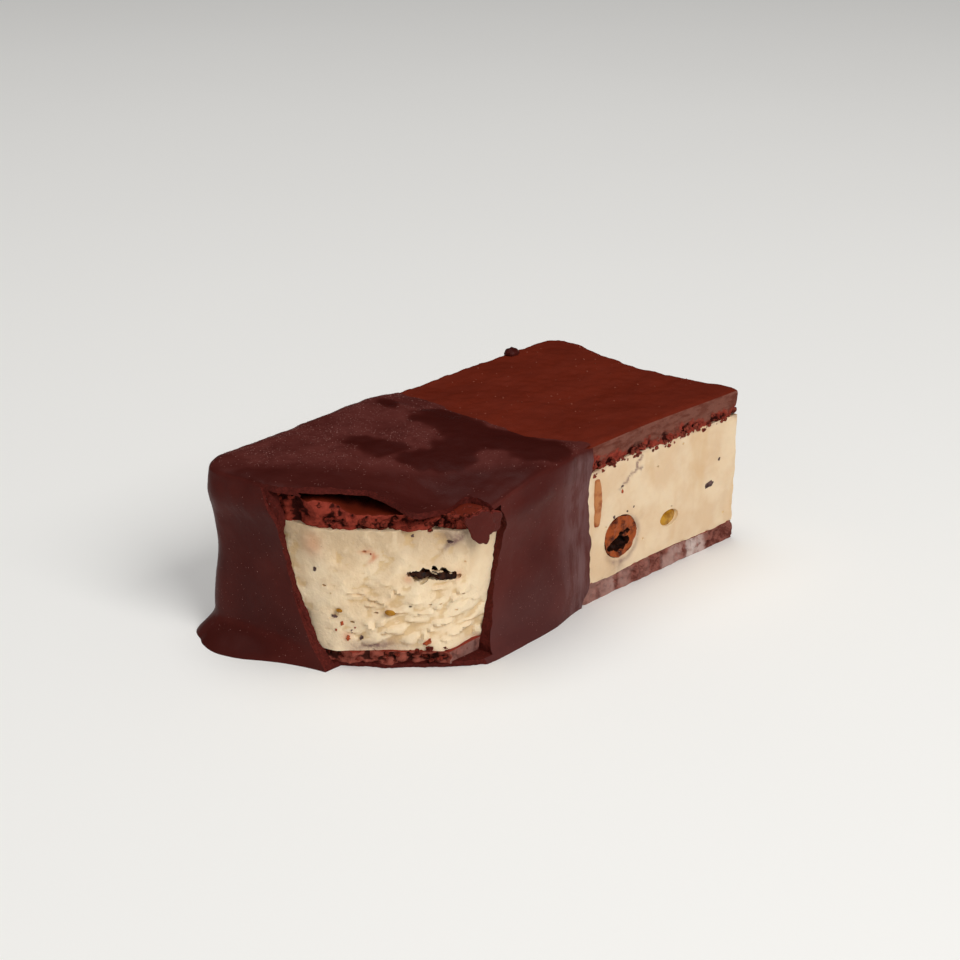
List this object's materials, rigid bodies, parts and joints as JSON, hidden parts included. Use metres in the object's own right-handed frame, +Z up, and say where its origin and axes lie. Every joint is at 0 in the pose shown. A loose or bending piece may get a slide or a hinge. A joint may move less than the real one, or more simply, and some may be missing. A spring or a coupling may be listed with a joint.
{
  "type": "ice cream sandwich",
  "caption": "Rectangular ice cream sandwich bar, half dipped in dark chocolate, with cocoa biscuit layers, nut pieces in the cream, a bitten corner and a clean-cut end.",
  "frame": {"origin": "centre of the underside of the overall box, on the surface it rests on", "axes": "+X along the bar towards the clean-cut end, -Y towards the long side with the bite and the knife cut, +Z up"},
  "size_m": [0.1199, 0.0621, 0.0374],
  "materials": {
    "ice_cream": "frozen cream, finely grained, with small inclusions",
    "cocoa_biscuit": "smooth matte top, crumbly cut edges",
    "frosted_biscuit": "dark crumbly biscuit with pale frost",
    "dark_chocolate": "set dark chocolate, satin, with a fine frost bloom",
    "nut_flesh": "roasted nut",
    "almond": "roasted flaked almond with a dark skin edge",
    "chocolate_piece": "broken dark chocolate"
  },
  "bodies": {
    "root": {"ice_cream": "ice_cream", "top_biscuit": "cocoa_biscuit", "bottom_biscuit": "frosted_biscuit", "chocolate_dip": "dark_chocolate", "hollow_nut": "nut_flesh", "almond_sliver": "almond", "chocolate_shard": "chocolate_piece", "shell_flake_upper": "dark_chocolate", "shell_flake_lower": "dark_chocolate"}
  },
  "joints": []
}
